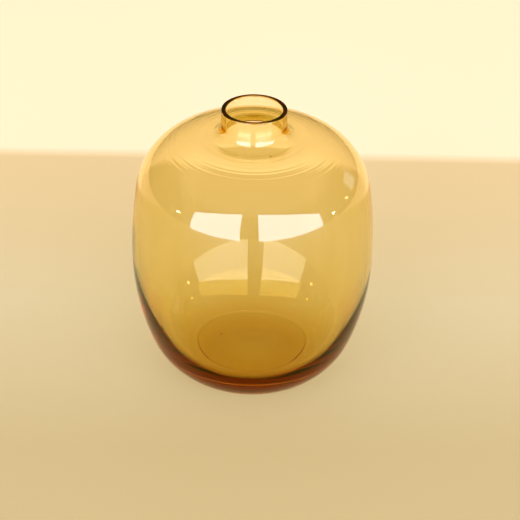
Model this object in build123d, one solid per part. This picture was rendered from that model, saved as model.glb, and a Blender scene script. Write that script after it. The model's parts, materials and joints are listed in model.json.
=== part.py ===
from build123d import *
import os
from math import atan, cos, degrees, radians, sin

# Glass bud vase: one blown piece of amber glass, free-standing, mouth up.
#
# The origin is the middle of the foot, on the surface that the vase stands on, with +Z up through
# the mouth. Sizes are in millimetres and angles in degrees. The vase is a body of revolution, so it
# is drawn as one closed half-section in the XZ plane and turned about the Z axis. Both surfaces are
# arcs that run into each other tangentially, upwards and downwards from the widest level.

# ---- outer surface -------------------------------------------------------------------------------
TOTAL_HEIGHT = 120.0
BODY_RADIUS = 49.0              # at the widest level
WIDEST_HEIGHT = 55.9            # of that level above the table
UPPER_SIDE = (201.7, 8.5)       # radius and turn of the almost straight stretch above that level
SHOULDER_RADIUS = 26.6          # from there up and over to the level top of the crown
LOWER_SIDE = (103.6, 20.5)      # radius and turn of the stretch below the widest level
HEEL_RADIUS = 31.5              # from there down towards the foot
HEEL_SLOPE = 20.0               # where a tighter arc takes over and runs out level on the table
PUNT_RADIUS = 16.0              # of the shallow hollow under the foot, inside the standing ring
PUNT_DEPTH = 0.6

# ---- neck and mouth ------------------------------------------------------------------------------
NECK_RADIUS = 12.9              # outside
BORE_RADIUS = 11.1              # inside
NECK_ROOT_RADIUS = 4.6          # of the outer sweep from the level crown up into the neck
CAVITY_ROOT_RADIUS = 5.9        # of the same sweep inside
LIP_ROUNDING = 0.6              # of both edges of the narrow, fire-polished lip

# ---- cavity --------------------------------------------------------------------------------------
WALL = 1.62                     # at the widest level
CAVITY_SHOULDER_RADIUS = 24.7
CAVITY_SIDE = (83.6, 19.4)      # radius and turn of the stretch below the widest level
CAVITY_WAIST = (61.0, 8.2)      # and of the next one, where the wall begins to thicken
CAVITY_HEEL_RADIUS = 21.9       # from there down to the floor of the heavy base
FLOOR_EDGE_SLOPE = 16.0         # of the heel's inside where it meets the floor at a faint ring
FLOOR_CORNER_RADIUS = 1.5       # of that ring
FLOOR_SLOPE = 8.0               # of the slightly dished floor just inside the ring


class Outline:
    """A run of arcs and straight lines in the half-section, each carrying on from the one before."""

    def __init__(self, radius, height, heading):
        self.radius = radius
        self.height = height
        self.heading = heading          # degrees: 0 is outwards, 90 is up
        self.edges = []

    def point(self):
        return Vector(self.radius, 0, self.height)

    def move_to(self, radius, height):
        self.radius = radius
        self.height = height

    def line_to(self, radius, height):
        start = self.point()
        self.move_to(radius, height)
        self.edges.append(Line(start, self.point()))

    def arc(self, radius, turn):
        """Turn left through `turn` degrees on an arc, or right where it is negative."""
        start = self.point()
        side = 1 if turn > 0 else -1
        centre_r = self.radius - side * radius * sin(radians(self.heading))
        centre_z = self.height + side * radius * cos(radians(self.heading))

        def along(share):
            swept = radians(self.heading + share * turn)
            return centre_r + side * radius * sin(swept), centre_z - side * radius * cos(swept)

        middle_r, middle_z = along(0.5)
        end_r, end_z = along(1.0)
        self.move_to(end_r, end_z)
        self.edges.append(ThreePointArc(start, Vector(middle_r, 0, middle_z), self.point()))
        self.heading += turn


def upper_outline(wall, shoulder_radius, neck_radius, root_radius):
    """From the widest level over the shoulder and up the neck, for either of the two surfaces."""
    outline = Outline(BODY_RADIUS - wall, WIDEST_HEIGHT, 90)
    side_radius, side_turn = UPPER_SIDE
    outline.arc(side_radius - wall, side_turn)
    outline.arc(shoulder_radius, 90 - side_turn)
    outline.line_to(neck_radius + root_radius, outline.height)
    outline.arc(root_radius, -90)
    outline.line_to(neck_radius, TOTAL_HEIGHT)
    return outline


def lower_outer_outline():
    """From the widest level down the heel, across the standing ring and up into the hollow."""
    outline = Outline(BODY_RADIUS, WIDEST_HEIGHT, -90)
    side_radius, side_turn = LOWER_SIDE
    outline.arc(side_radius, -side_turn)
    outline.arc(HEEL_RADIUS, side_turn + HEEL_SLOPE - 90)
    outline.arc(outline.height / (1 - cos(radians(HEEL_SLOPE))), -HEEL_SLOPE)
    outline.line_to(PUNT_RADIUS, 0)
    punt_slope = 2 * degrees(atan(PUNT_DEPTH / PUNT_RADIUS))
    punt_arc = PUNT_RADIUS / 2 / sin(radians(punt_slope))
    outline.arc(punt_arc, -punt_slope)
    outline.arc(punt_arc, punt_slope)
    return outline


def lower_cavity_outline():
    """From the widest level down inside the heel, over the floor ring and along the floor."""
    outline = Outline(BODY_RADIUS - WALL, WIDEST_HEIGHT, -90)
    side_radius, side_turn = CAVITY_SIDE
    waist_radius, waist_turn = CAVITY_WAIST
    outline.arc(side_radius, -side_turn)
    outline.arc(waist_radius, -waist_turn)
    outline.arc(CAVITY_HEEL_RADIUS, side_turn + waist_turn - (90 - FLOOR_EDGE_SLOPE))
    outline.arc(FLOOR_CORNER_RADIUS, FLOOR_SLOPE - FLOOR_EDGE_SLOPE)
    outline.arc(outline.radius / sin(radians(FLOOR_SLOPE)), -FLOOR_SLOPE)
    return outline


def glass_vessel():
    outer_top = upper_outline(0, SHOULDER_RADIUS, NECK_RADIUS, NECK_ROOT_RADIUS)
    outer_bottom = lower_outer_outline()
    cavity_top = upper_outline(WALL, CAVITY_SHOULDER_RADIUS, BORE_RADIUS, CAVITY_ROOT_RADIUS)
    cavity_bottom = lower_cavity_outline()
    lip = Line(outer_top.point(), cavity_top.point())
    axis = Line(outer_bottom.point(), cavity_bottom.point())
    edges = outer_top.edges + outer_bottom.edges + cavity_top.edges + cavity_bottom.edges
    section = Face(Wire(edges + [lip, axis]))
    lip_corners = section.vertices().sort_by(Axis.Z)[-2:]
    section = section.fillet_2d(LIP_ROUNDING, lip_corners)
    return revolve(section, Axis.Z, 360)


NODES = {"glass_vessel": glass_vessel}

os.makedirs("parts", exist_ok=True)
for name, build in NODES.items():
    solid = build()
    solid.label = name
    export_step(solid, f"parts/{name}.step")
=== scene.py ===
"""Looks for the glass bud vase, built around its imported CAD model.

Everything is in metres in the CAD's own frame: the vase stands on z = 0 with its axis on Z and its
mouth up, and the camera looks along +Y. The blown glass is one closed skin, outer surface and
cavity, turned from the same arcs as the CAD solid. Angles are in degrees unless a note says otherwise.
"""
import json
from math import atan, cos, degrees, hypot, pi, radians, sin

import bpy
from mathutils import Matrix, Vector


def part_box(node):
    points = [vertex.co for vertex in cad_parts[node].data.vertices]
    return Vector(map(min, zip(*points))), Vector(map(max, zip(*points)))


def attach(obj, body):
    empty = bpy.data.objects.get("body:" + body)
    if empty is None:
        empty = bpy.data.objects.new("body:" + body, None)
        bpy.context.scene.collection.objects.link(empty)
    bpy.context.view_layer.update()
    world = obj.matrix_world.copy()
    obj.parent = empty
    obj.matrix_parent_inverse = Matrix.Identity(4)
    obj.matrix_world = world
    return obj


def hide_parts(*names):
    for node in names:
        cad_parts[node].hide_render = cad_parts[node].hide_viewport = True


MM = 0.001

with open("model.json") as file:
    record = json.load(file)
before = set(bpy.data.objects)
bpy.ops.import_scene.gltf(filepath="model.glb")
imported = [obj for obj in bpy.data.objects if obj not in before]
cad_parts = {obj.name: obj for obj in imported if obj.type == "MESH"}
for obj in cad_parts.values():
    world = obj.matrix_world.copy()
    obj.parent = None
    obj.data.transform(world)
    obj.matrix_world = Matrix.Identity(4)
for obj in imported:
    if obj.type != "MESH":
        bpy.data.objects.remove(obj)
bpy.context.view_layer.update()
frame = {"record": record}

# ---- outer surface -------------------------------------------------------------------------------
vessel_low, vessel_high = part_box("glass_vessel")
mounts = {mount["name"]: mount for mount in frame["record"]["mounts"]}

TOTAL_HEIGHT = vessel_high.z
BODY_RADIUS = 49.0 * MM                  # at the widest level
WIDEST_HEIGHT = 55.9 * MM
UPPER_SIDE = (201.7 * MM, 8.5)           # radius and turn of the almost straight stretch above it
SHOULDER_RADIUS = 26.6 * MM
LOWER_SIDE = (103.6 * MM, 20.5)          # radius and turn of the stretch below it
HEEL_RADIUS = 31.5 * MM
HEEL_SLOPE = 20.0                        # where a tighter arc runs out level on the table
PUNT_RADIUS = 16.0 * MM                  # of the shallow hollow inside the standing ring
PUNT_DEPTH = 0.6 * MM

# ---- neck and mouth ------------------------------------------------------------------------------
NECK_RADIUS = 12.9 * MM
BORE_RADIUS = mounts["mouth"]["dims"]["r_mm"] * MM
NECK_ROOT_RADIUS = 4.6 * MM              # of the sweep from the crown up into the neck, outside
CAVITY_ROOT_RADIUS = 5.9 * MM            # and inside
LIP_ROUNDING = 0.6 * MM

# ---- cavity --------------------------------------------------------------------------------------
WALL = 1.62 * MM                         # at the widest level
CAVITY_SHOULDER_RADIUS = 24.7 * MM
CAVITY_SIDE = (83.6 * MM, 19.4)
CAVITY_WAIST = (61.0 * MM, 8.2)
CAVITY_HEEL_RADIUS = 21.9 * MM
FLOOR_EDGE_SLOPE = 16.0
FLOOR_SLOPE = 8.0
GROOVE_RADIUS = 1.2 * MM                 # of the three arcs of the soft ring round the floor
GROOVE_SLOPES = (56.0, -32.0)            # where those arcs meet
CAVITY_SHIFT = 0.15 * MM                 # sideways, of the lower part of the cavity
SHIFT_HEIGHTS = (75 * MM, 35 * MM)       # none of the shift above the first, all of it below the second

# ---- traces of the blowing -----------------------------------------------------------------------
TURNED_CROWN = 36.5                      # the last turn of the shoulder, meshed finely inside
TURNED_HEIGHTS = (98 * MM, 102 * MM)     # turning lines inside the crown fade in over these heights
TURNED_RADII = (17 * MM, 19 * MM)        # and these distances from the axis
TURNING_PITCH = 1.25 * MM
TURNING_DEPTH = 0.007 * MM
SWELL = 0.04 * MM                        # of the three-lobed unevenness of the whole body
RIPPLE = 0.008 * MM                      # of the finer, eight-lobed unevenness
RIPPLE_CLIMB = 11 * MM                   # of height to each radian of the ripple's phase
RIPPLE_LAG = 2.1                         # radians of phase that the ripple inside trails by
EVEN_MARGIN = 20 * MM                    # from the lip and from the axis, where both fade out

# place and radius of each bubble in the glass, in millimetres
SEEDS = [
    (6.6, -16.6, 107.35, 0.32),
    (-18.4, 17.6, 5.2, 0.45),
    (-13.6, 7.4, 4.9, 0.40),
    (-30.2, -37.4, 48.0, 0.22),
    (24.6, -40.9, 61.0, 0.20),
    (11.0, -46.7, 41.5, 0.18),
    (21.0, 8.0, 5.6, 0.25),
]

# ---- stage ---------------------------------------------------------------------------------------
FLOOR_GAP = 0.05 * MM                    # below the foot, so that the two faces don't coincide
FLOOR_ALBEDO = 0.35                      # of each tone, reflected
FLOOR_PAINTED_GLOW = 0.40                        # of each tone, given out as a painted glow that lifts the shade around and under the vase
# the tones rise from front to back as a painted pool of light; the last stop, brighter than white, is
# painted bright light over the floor behind the vase
FLOOR_TONES_AND_PAINTED_LIGHT = [                          # distance behind the vase in metres, and tone
    (-0.060, (0.74, 0.59, 0.33)),
    (0.046, (0.87, 0.72, 0.45)),
    (0.178, (0.97, 0.75, 0.44)),
    (0.188, (1.30, 1.02, 0.72)),
]
ROOM_SIDES = 0.30
ROOM_CEILING = 0.60
DAYLIGHT = (0.54, 0.63, 1.0)
LAMP_COLOUR = (1.0, 0.84, 0.62)
LAMP_DISTANCE = 1.6                      # in metres, from a point on the axis at the next height
LAMP_HEIGHT = 0.06

# ---- view ----------------------------------------------------------------------------------------
CAMERA_ELEVATION = 32.25                 # of the line of sight, which slopes down along +Y
CAMERA_ROLL = 0.98
CAMERA_PLACE = Vector((0.00317, -0.5563, 0.4016))
CAMERA_LENS = 110.8

# ---- fineness of the mesh ------------------------------------------------------------------------
SEGMENTS = 224
ARC_STEP = 1.6 * MM
FINE_STEP = 0.3 * MM                     # where there are turning lines
ARC_TURN = 3.0                           # about the most between two points of an arc


# ---- shape ---------------------------------------------------------------------------------------
class Outline:
    """Points of a run of arcs and lines in the half-section, each carrying on from the last."""

    def __init__(self, radius, height, heading):
        self.points = [(radius, height)]
        self.heading = heading

    @property
    def radius(self):
        return self.points[-1][0]

    @property
    def height(self):
        return self.points[-1][1]

    def line_to(self, radius, height):
        start_r, start_z = self.points[-1]
        steps = max(1, round(hypot(radius - start_r, height - start_z) / ARC_STEP))
        for step in range(1, steps + 1):
            share = step / steps
            along_r = start_r + share * (radius - start_r)
            along_z = start_z + share * (height - start_z)
            self.points.append((along_r, along_z))

    def arc(self, radius, turn, step_length=ARC_STEP):
        """Turn left through `turn` degrees on an arc, or right where it is negative."""
        side = 1 if turn > 0 else -1
        centre_r = self.radius - side * radius * sin(radians(self.heading))
        centre_z = self.height + side * radius * cos(radians(self.heading))
        length = radius * radians(abs(turn))
        steps = max(2, round(length / step_length), round(abs(turn) / ARC_TURN))
        for step in range(1, steps + 1):
            swept = radians(self.heading + turn * step / steps)
            along_r = centre_r + side * radius * sin(swept)
            along_z = centre_z - side * radius * cos(swept)
            self.points.append((along_r, along_z))
        self.heading += turn


def upper_outline(wall, shoulder_radius, neck_radius, root_radius, lip_side, step_length):
    """From the widest level over the shoulder and up the neck to the flat of the lip.

    lip_side is 1 for the outer surface and -1 for the cavity; step_length is that of the crown.
    """
    outline = Outline(BODY_RADIUS - wall, WIDEST_HEIGHT, 90)
    side_radius, side_turn = UPPER_SIDE
    outline.arc(side_radius - wall, side_turn)
    outline.arc(shoulder_radius, 90 - side_turn - TURNED_CROWN)
    outline.arc(shoulder_radius, TURNED_CROWN, step_length)
    outline.line_to(neck_radius + root_radius, outline.height)
    outline.arc(root_radius, -90)
    outline.line_to(neck_radius, TOTAL_HEIGHT - LIP_ROUNDING)
    outline.arc(LIP_ROUNDING, 90 * lip_side)
    return outline.points


def lower_outer_outline():
    """From the widest level down the heel, across the standing ring and up into the hollow."""
    outline = Outline(BODY_RADIUS, WIDEST_HEIGHT, -90)
    side_radius, side_turn = LOWER_SIDE
    outline.arc(side_radius, -side_turn)
    outline.arc(HEEL_RADIUS, side_turn + HEEL_SLOPE - 90)
    outline.arc(outline.height / (1 - cos(radians(HEEL_SLOPE))), -HEEL_SLOPE)
    outline.line_to(PUNT_RADIUS, 0)
    punt_slope = 2 * degrees(atan(PUNT_DEPTH / PUNT_RADIUS))
    punt_arc = PUNT_RADIUS / 2 / sin(radians(punt_slope))
    outline.arc(punt_arc, -punt_slope)
    outline.arc(punt_arc, punt_slope)
    return outline.points


def lower_cavity_outline():
    """From the widest level down inside the heel, over the floor ring and along the floor."""
    outline = Outline(BODY_RADIUS - WALL, WIDEST_HEIGHT, -90)
    side_radius, side_turn = CAVITY_SIDE
    waist_radius, waist_turn = CAVITY_WAIST
    outline.arc(side_radius, -side_turn)
    outline.arc(waist_radius, -waist_turn)
    outline.arc(CAVITY_HEEL_RADIUS, side_turn + waist_turn - (90 - FLOOR_EDGE_SLOPE))
    slope = FLOOR_EDGE_SLOPE
    for next_slope in (*GROOVE_SLOPES, FLOOR_SLOPE):
        outline.arc(GROOVE_RADIUS, next_slope - slope)
        slope = next_slope
    outline.arc(outline.radius / sin(radians(FLOOR_SLOPE)), -FLOOR_SLOPE)
    return outline.points


def glass_outline():
    """The half-section: the outside from the foot up to the lip, then the cavity from the lip down."""
    shoulder = upper_outline(0, SHOULDER_RADIUS, NECK_RADIUS, NECK_ROOT_RADIUS, 1, ARC_STEP)
    outer = lower_outer_outline()[::-1] + shoulder[1:]
    crown = upper_outline(WALL, CAVITY_SHOULDER_RADIUS, BORE_RADIUS, CAVITY_ROOT_RADIUS, -1, FINE_STEP)
    cavity = crown[::-1] + lower_cavity_outline()[1:]
    return outer, cavity


def smooth_share(value, start, end):
    """From 0 at `start` to 1 at `end`, with soft ends, and level past each of them."""
    share = min(1.0, max(0.0, (value - start) / (end - start)))
    return share * share * (3 - 2 * share)


def blown_place(radius, angle, height, inside):
    """Where a point of the even shape really lies, as blown glass is never quite even."""
    fade = min(1.0, (TOTAL_HEIGHT - height) / EVEN_MARGIN) * min(1.0, radius / EVEN_MARGIN)
    lag = RIPPLE_LAG if inside else 0.0
    swell = SWELL * sin(3 * angle) + RIPPLE * sin(8 * angle - lag + height / RIPPLE_CLIMB)
    lines = 0.0
    offset = 0.0
    if inside:
        share = smooth_share(height, *TURNED_HEIGHTS) * smooth_share(radius, *TURNED_RADII)
        turns = 2 * pi * radius / TURNING_PITCH
        wave = 0.8 * sin(turns) + 0.9 * sin(turns / 1.7)
        lines = TURNING_DEPTH * wave * share
        offset = CAVITY_SHIFT * smooth_share(height, *SHIFT_HEIGHTS)
    radius += swell * fade
    x = radius * cos(angle) + offset
    y = radius * sin(angle)
    return x, y, height + lines


def add_seed(verts, faces, centre, radius):
    """A round bubble in the glass; its faces look inwards, into the air that it holds."""
    first = len(verts)
    rows, columns = 8, 14
    verts.append((centre[0], centre[1], centre[2] - radius))
    for row in range(1, rows):
        tilt = pi * row / rows
        for column in range(columns):
            angle = 2 * pi * column / columns
            verts.append((
                centre[0] + radius * sin(tilt) * cos(angle),
                centre[1] + radius * sin(tilt) * sin(angle),
                centre[2] - radius * cos(tilt),
            ))
    verts.append((centre[0], centre[1], centre[2] + radius))
    top = len(verts) - 1
    for column in range(columns):
        after = (column + 1) % columns
        faces.append((first, first + 1 + column, first + 1 + after))
        last = first + 1 + (rows - 2) * columns
        faces.append((top, last + after, last + column))
        for row in range(rows - 2):
            low = first + 1 + row * columns
            faces.append((low + column, low + columns + column, low + columns + after, low + after))


def turned_skin(name, outer, cavity, segments):
    """A closed skin turned about Z from the outer and the inner half of a half-section."""
    rings = [(point, False) for point in outer[1:]] + [(point, True) for point in cavity[:-1]]
    verts = [(0, 0, outer[0][1]), (CAVITY_SHIFT, 0, cavity[-1][1])]
    for (radius, height), inside in rings:
        for k in range(segments):
            verts.append(blown_place(radius, 2 * pi * k / segments, height, inside))
    faces = []
    for k in range(segments):
        after = (k + 1) % segments
        faces.append((0, 2 + after, 2 + k))
        last = 2 + (len(rings) - 1) * segments
        faces.append((1, last + k, last + after))
    for ring in range(len(rings) - 1):
        low = 2 + ring * segments
        high = low + segments
        for k in range(segments):
            after = (k + 1) % segments
            faces.append((low + k, low + after, high + after, high + k))
    for x, y, z, radius in SEEDS:
        add_seed(verts, faces, (x * MM, y * MM, z * MM), radius * MM)
    mesh = bpy.data.meshes.new(name)
    mesh.from_pydata(verts, [], faces)
    mesh.polygons.foreach_set("use_smooth", [True] * len(mesh.polygons))
    mesh.update()
    piece = bpy.data.objects.new(name, mesh)
    bpy.context.scene.collection.objects.link(piece)
    return piece


# ---- materials -----------------------------------------------------------------------------------
def amber_glass():
    mat = bpy.data.materials.new("amber_glass")
    mat.use_nodes = True
    nodes, links = mat.node_tree.nodes, mat.node_tree.links
    nodes.clear()
    out = nodes.new("ShaderNodeOutputMaterial")
    skin = nodes.new("ShaderNodeBsdfPrincipled")
    skin.inputs["Base Color"].default_value = (1, 1, 1, 1)
    skin.inputs["Roughness"].default_value = 0.0
    skin.inputs["IOR"].default_value = 1.52
    skin.inputs["Transmission Weight"].default_value = 1.0
    tint = nodes.new("ShaderNodeVolumeAbsorption")
    tint.inputs["Color"].default_value = (0.93, 0.75, 0.0, 1)
    tint.inputs["Density"].default_value = 205.0
    links.new(skin.outputs["BSDF"], out.inputs["Surface"])
    links.new(tint.outputs["Volume"], out.inputs["Volume"])
    return mat


def floor_material():
    """A pale matt floor, a little deeper in tone in front and paler well behind the vase: a painted
    pool of light, ending in painted bright light farther back. Part of each tone is given out as a
    painted glow, like a light table's, that lifts the shade around and under the vase.
    """
    mat = bpy.data.materials.new("pale_floor_with_painted_light")
    mat.use_nodes = True
    nodes, links = mat.node_tree.nodes, mat.node_tree.links
    skin = nodes["Principled BSDF"]
    place = nodes.new("ShaderNodeTexCoord")
    split = nodes.new("ShaderNodeSeparateXYZ")
    reach = nodes.new("ShaderNodeMapRange")
    reach.inputs["From Min"].default_value = FLOOR_TONES_AND_PAINTED_LIGHT[0][0]
    reach.inputs["From Max"].default_value = FLOOR_TONES_AND_PAINTED_LIGHT[-1][0]
    # the ramp paints a pool of light rising towards the back, and bright light past its last stop
    tone = nodes.new("ShaderNodeValToRGB")
    stops = tone.color_ramp.elements
    while len(stops) < len(FLOOR_TONES_AND_PAINTED_LIGHT):
        stops.new(1.0)
    for stop, (distance, colour) in zip(stops, FLOOR_TONES_AND_PAINTED_LIGHT):
        stop.position = (distance - FLOOR_TONES_AND_PAINTED_LIGHT[0][0]) / (FLOOR_TONES_AND_PAINTED_LIGHT[-1][0] - FLOOR_TONES_AND_PAINTED_LIGHT[0][0])
        stop.color = (*colour, 1)
    matt = nodes.new("ShaderNodeVectorMath")
    matt.operation = "SCALE"
    matt.inputs["Scale"].default_value = FLOOR_ALBEDO
    skin.inputs["Roughness"].default_value = 0.6
    # the floor's glow is painted light that lifts the shade around and under the vase
    skin.inputs["Emission Strength"].default_value = FLOOR_PAINTED_GLOW
    links.new(place.outputs["Object"], split.inputs["Vector"])
    links.new(split.outputs["Y"], reach.inputs["Value"])
    links.new(reach.outputs["Result"], tone.inputs["Fac"])
    links.new(tone.outputs["Color"], skin.inputs["Emission Color"])
    links.new(tone.outputs["Color"], matt.inputs[0])
    links.new(matt.outputs["Vector"], skin.inputs["Base Color"])
    return mat


# ---- lights and room -----------------------------------------------------------------------------
def softbox(name, centre, facing, width, height, power, colour):
    """A plain rectangular light."""
    light = bpy.data.lights.new(name, "AREA")
    light.shape = "RECTANGLE"
    light.size = width
    light.size_y = height
    light.energy = power
    light.color = colour
    panel = bpy.data.objects.new(name, light)
    panel.location = centre
    panel.rotation_mode = "QUATERNION"
    panel.rotation_quaternion = Vector(facing).to_track_quat("-Z", "Y")
    bpy.context.scene.collection.objects.link(panel)


def lamp(name, azimuth, elevation, radius, power):
    """A small warm room lamp, seen from the vase at an azimuth counted from the camera's side."""
    light = bpy.data.lights.new(name, "AREA")
    light.shape = "DISK"
    light.size = 2 * radius
    light.energy = power
    light.color = LAMP_COLOUR
    level = LAMP_DISTANCE * cos(radians(elevation))
    place = Vector((level * sin(radians(azimuth)), -level * cos(radians(azimuth)), LAMP_HEIGHT))
    place.z += LAMP_DISTANCE * sin(radians(elevation))
    bulb = bpy.data.objects.new(name, light)
    bulb.location = place
    bulb.rotation_mode = "QUATERNION"
    bulb.rotation_quaternion = (Vector((0, 0, LAMP_HEIGHT)) - place).to_track_quat("-Z", "Y")
    bpy.context.scene.collection.objects.link(bulb)


def room_world():
    """Dim near the horizon, with an even soft light from above."""
    world = bpy.data.worlds.new("room")
    world.use_nodes = True
    nodes, links = world.node_tree.nodes, world.node_tree.links
    place = nodes.new("ShaderNodeTexCoord")
    split = nodes.new("ShaderNodeSeparateXYZ")
    rise = nodes.new("ShaderNodeMapRange")
    rise.interpolation_type = "SMOOTHSTEP"
    rise.inputs["From Min"].default_value = 0.50
    rise.inputs["From Max"].default_value = 0.72
    rise.inputs["To Min"].default_value = ROOM_SIDES
    rise.inputs["To Max"].default_value = ROOM_CEILING
    glow = nodes["Background"]
    glow.inputs["Color"].default_value = (1.0, 0.90, 0.74, 1)
    links.new(place.outputs["Generated"], split.inputs["Vector"])
    links.new(split.outputs["Z"], rise.inputs["Value"])
    links.new(rise.outputs["Result"], glow.inputs["Strength"])
    return world


# ---- the vase ------------------------------------------------------------------------------------
outer, cavity = glass_outline()
vase = turned_skin("blown_glass_vase", outer, cavity, SEGMENTS)
vase.data.materials.append(amber_glass())
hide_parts("glass_vessel")
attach(vase, "root")

# ---- the stage -----------------------------------------------------------------------------------
bpy.ops.mesh.primitive_plane_add(size=8)
floor = bpy.context.object
floor.location.z = -FLOOR_GAP
floor.name = "floor"
floor.data.materials.append(floor_material())

softbox("window_left", (-0.95, -1.0, 0.44), (0, 1, 0), 1.50, 0.94, 24, DAYLIGHT)
softbox("window_right", (1.30, -1.0, 0.44), (0, 1, 0), 2.40, 0.94, 38, DAYLIGHT)
softbox("doorway", (1.36, 0.80, 0.45), (-0.84, -0.50, -0.21), 0.38, 0.44, 0.45, (0.50, 0.70, 1.0))

lamp("lamp_left", -75, 11, 0.04, 1.3)
lamp("lamp_right", 82, 7, 0.036, 0.9)
lamp("lamp_far_right", 104, 8, 0.032, 0.08)

bpy.context.scene.world = room_world()

# light runs a long way inside thick glass, so its path may bounce many times
bpy.context.scene.cycles.max_bounces = 40
bpy.context.scene.cycles.glossy_bounces = 24
bpy.context.scene.cycles.transmission_bounces = 32

# ---- camera --------------------------------------------------------------------------------------
camera_data = bpy.data.cameras.new("camera")
camera_data.lens = CAMERA_LENS
camera_data.sensor_width = 36
camera = bpy.data.objects.new("camera", camera_data)
slope = radians(CAMERA_ELEVATION)
roll = radians(CAMERA_ROLL)
forward = Vector((0, cos(slope), -sin(slope)))
level_right = Vector((1, 0, 0))
level_up = Vector((0, sin(slope), cos(slope)))
right = cos(roll) * level_right + sin(roll) * level_up
up = -sin(roll) * level_right + cos(roll) * level_up
facing = Matrix((right, up, -forward)).transposed().to_4x4()
camera.matrix_world = Matrix.Translation(CAMERA_PLACE) @ facing
bpy.context.scene.collection.objects.link(camera)
bpy.context.scene.camera = camera

# the slight black level takes the blue haze out of the darkest glass
view = bpy.context.scene.view_settings
view.view_transform = "Standard"
view.look = "High Contrast"
view.use_curve_mapping = True
view.curve_mapping.black_level = (0.0, 0.002, 0.018)
view.curve_mapping.update()
